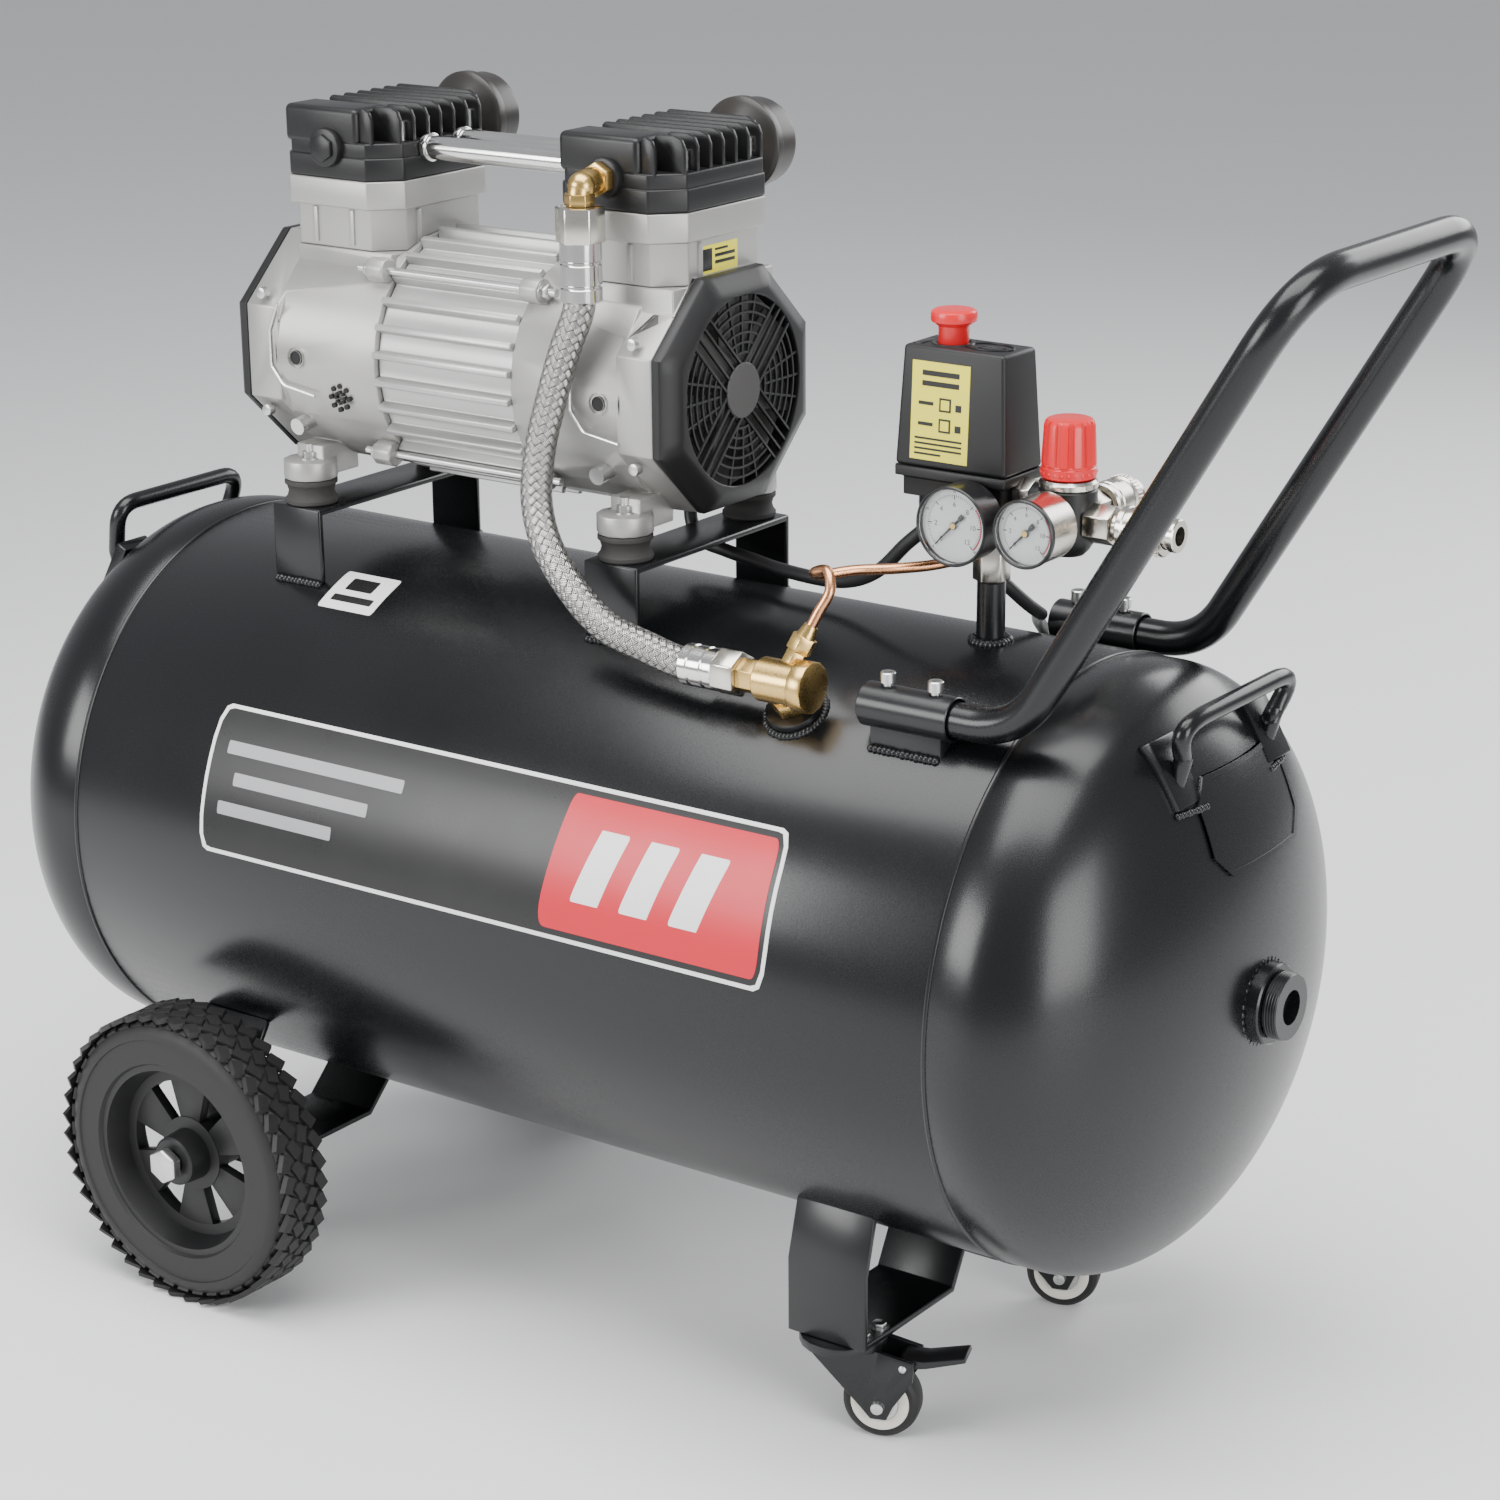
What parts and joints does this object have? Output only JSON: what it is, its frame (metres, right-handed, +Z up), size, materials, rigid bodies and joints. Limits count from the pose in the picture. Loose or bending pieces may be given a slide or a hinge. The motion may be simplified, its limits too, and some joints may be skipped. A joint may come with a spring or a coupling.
{
  "type": "air compressor",
  "caption": "Direct-drive piston air compressor: twin heads on one motor, above a horizontal black air tank with big rear wheels, swivel casters and a push handle.",
  "frame": {"origin": "centre of the footprint box on the floor", "axes": "+X towards the push handle and the casters, +Y towards the rear with the intake filters, +Z up"},
  "size_m": [0.9538, 0.7363, 0.7707],
  "materials": {
    "black_paint": "semi-gloss powder coat",
    "rubber_black": "matte moulded",
    "cast_aluminium": "bead-blasted die casting",
    "cast_black": "matte black on a casting",
    "plastic_black": "fine moulded texture",
    "brass": "turned",
    "braided_steel": "stainless wire braid",
    "copper": "bent bare copper pipe",
    "red_plastic": "glossy moulded",
    "gauge_white": "printed dial",
    "gauge_glass": "clear",
    "nickel": "nickel plated",
    "bare_steel": "machined",
    "zinc": "zinc plated fasteners",
    "cable_black": "smooth sheath",
    "tyre_black": "solid moulded wheel",
    "cream_plastic": "moulded wheel ring",
    "label": null
  },
  "bodies": {
    "frame": {"tank_shell": "black_paint", "tank_head_left": "black_paint", "tank_head_right": "black_paint", "inspection_plug": "black_paint", "push_handle": "black_paint", "motor_bracket_left": "black_paint", "motor_bracket_right": "black_paint", "wheel_bracket_front": "black_paint", "wheel_bracket_rear": "black_paint", "caster_bracket_front": "black_paint", "caster_bracket_rear": "black_paint", "rubber_mount_left_front": "rubber_black", "rubber_mount_left_rear": "rubber_black", "rubber_mount_right_front": "rubber_black", "rubber_mount_right_rear": "rubber_black", "crankcase_left": "cast_aluminium", "crankcase_right": "cast_aluminium", "stator_housing": "cast_aluminium", "cylinder_left": "cast_aluminium", "cylinder_right": "cast_aluminium", "cylinder_head_left": "cast_black", "cylinder_head_right": "cast_black", "manifold_block": "cast_black", "regulator_body": "cast_black", "fan_cover_left": "plastic_black", "fan_cover_right": "plastic_black", "intake_filter_left": "plastic_black", "intake_filter_right": "plastic_black", "switch_base": "plastic_black", "switch_cover": "plastic_black", "elbow_fitting": "brass", "check_valve": "brass", "discharge_hose": "braided_steel", "unloader_pipe": "copper", "gauge_left": "gauge_white", "gauge_right": "gauge_white", "piston_rod_left": "bare_steel", "piston_rod_right": "bare_steel", "motor_cable": "cable_black", "mains_lead": "cable_black", "lead_coil": "cable_black", "mains_plug": "cable_black"},
    "rotor": {"rotor_shaft": "bare_steel", "fan_left": "plastic_black", "fan_right": "plastic_black"},
    "switch_knob": {"switch_knob": "red_plastic"},
    "regulator_knob": {"regulator_knob": "red_plastic"},
    "gauge_left_needle": {"gauge_left_needle": "plastic_black"},
    "gauge_right_needle": {"gauge_right_needle": "plastic_black"},
    "coupler_sleeve_side": {"coupler_sleeve_side": "nickel"},
    "coupler_sleeve_rear": {"coupler_sleeve_rear": "nickel"},
    "drain_valve": {"drain_valve": "brass"},
    "wheel_front": {"wheel_front": "tyre_black"},
    "wheel_rear": {"wheel_rear": "tyre_black"},
    "caster_fork_front": {"caster_fork_front": "black_paint"},
    "caster_fork_rear": {"caster_fork_rear": "black_paint"},
    "caster_wheel_front": {"caster_wheel_front": "tyre_black"},
    "caster_wheel_rear": {"caster_wheel_rear": "tyre_black"},
    "brake_pedal_front": {"brake_pedal_front": "plastic_black"},
    "brake_pedal_rear": {"brake_pedal_rear": "plastic_black"}
  },
  "joints": [
    {"name": "rotor_spin", "type": "hinge", "parent": "frame", "child": "rotor", "pos_m": [-0.12863, 0, 0.6076], "axis": [1, 0, 0], "continuous": true},
    {"name": "switch_knob_slide", "type": "slide", "parent": "frame", "child": "switch_knob", "axis": [0, 0, 1], "range_m": [-0.006, 0]},
    {"name": "regulator_knob_turn", "type": "hinge", "parent": "frame", "child": "regulator_knob", "pos_m": [0.27237, 0, 0.6], "axis": [0, 0, 1], "range_deg": [-540, 540]},
    {"name": "gauge_left_needle_swing", "type": "hinge", "parent": "frame", "child": "gauge_left_needle", "pos_m": [0.22197, -0.041, 0.558], "axis": [0, 1, 0], "range_deg": [0, 270], "stiffness_Nm_per_rad": 0.001},
    {"name": "gauge_right_needle_swing", "type": "hinge", "parent": "frame", "child": "gauge_right_needle", "pos_m": [0.27237, -0.045, 0.5615], "axis": [0, 1, 0], "range_deg": [0, 270], "stiffness_Nm_per_rad": 0.001},
    {"name": "coupler_side_pull", "type": "slide", "parent": "frame", "child": "coupler_sleeve_side", "axis": [1, 0, 0], "range_m": [-0.0035, 0], "stiffness_N_per_m": 600, "springref_m": 0.004},
    {"name": "coupler_rear_pull", "type": "slide", "parent": "frame", "child": "coupler_sleeve_rear", "axis": [0, 1, 0], "range_m": [-0.0035, 0], "stiffness_N_per_m": 600, "springref_m": 0.004},
    {"name": "drain_valve_turn", "type": "hinge", "parent": "frame", "child": "drain_valve", "pos_m": [-0.03263, 0, 0.1], "axis": [0, 0, 1], "range_deg": [0, 360]},
    {"name": "wheel_front_spin", "type": "hinge", "parent": "frame", "child": "wheel_front", "pos_m": [-0.26263, -0.1955, 0.1], "axis": [0, 1, 0], "continuous": true},
    {"name": "caster_front_swivel", "type": "hinge", "parent": "frame", "child": "caster_fork_front", "pos_m": [0.19137, -0.107, 0.06], "axis": [0, 0, 1], "continuous": true},
    {"name": "caster_wheel_front_spin", "type": "hinge", "parent": "caster_fork_front", "child": "caster_wheel_front", "pos_m": [0.21486, -0.09845, 0.024], "axis": [-0.342, 0.9397, 0], "continuous": true},
    {"name": "brake_pedal_front_press", "type": "hinge", "parent": "caster_fork_front", "child": "brake_pedal_front", "pos_m": [0.22896, -0.09332, 0.051], "axis": [-0.342, 0.9397, 0], "range_deg": [0, 16]},
    {"name": "wheel_rear_spin", "type": "hinge", "parent": "frame", "child": "wheel_rear", "pos_m": [-0.26263, 0.1955, 0.1], "axis": [0, 1, 0], "continuous": true},
    {"name": "caster_rear_swivel", "type": "hinge", "parent": "frame", "child": "caster_fork_rear", "pos_m": [0.19137, 0.107, 0.06], "axis": [0, 0, 1], "continuous": true},
    {"name": "caster_wheel_rear_spin", "type": "hinge", "parent": "caster_fork_rear", "child": "caster_wheel_rear", "pos_m": [0.21486, 0.11555, 0.024], "axis": [-0.342, 0.9397, 0], "continuous": true},
    {"name": "brake_pedal_rear_press", "type": "hinge", "parent": "caster_fork_rear", "child": "brake_pedal_rear", "pos_m": [0.22896, 0.12068, 0.051], "axis": [-0.342, 0.9397, 0], "range_deg": [0, 16]}
  ]
}
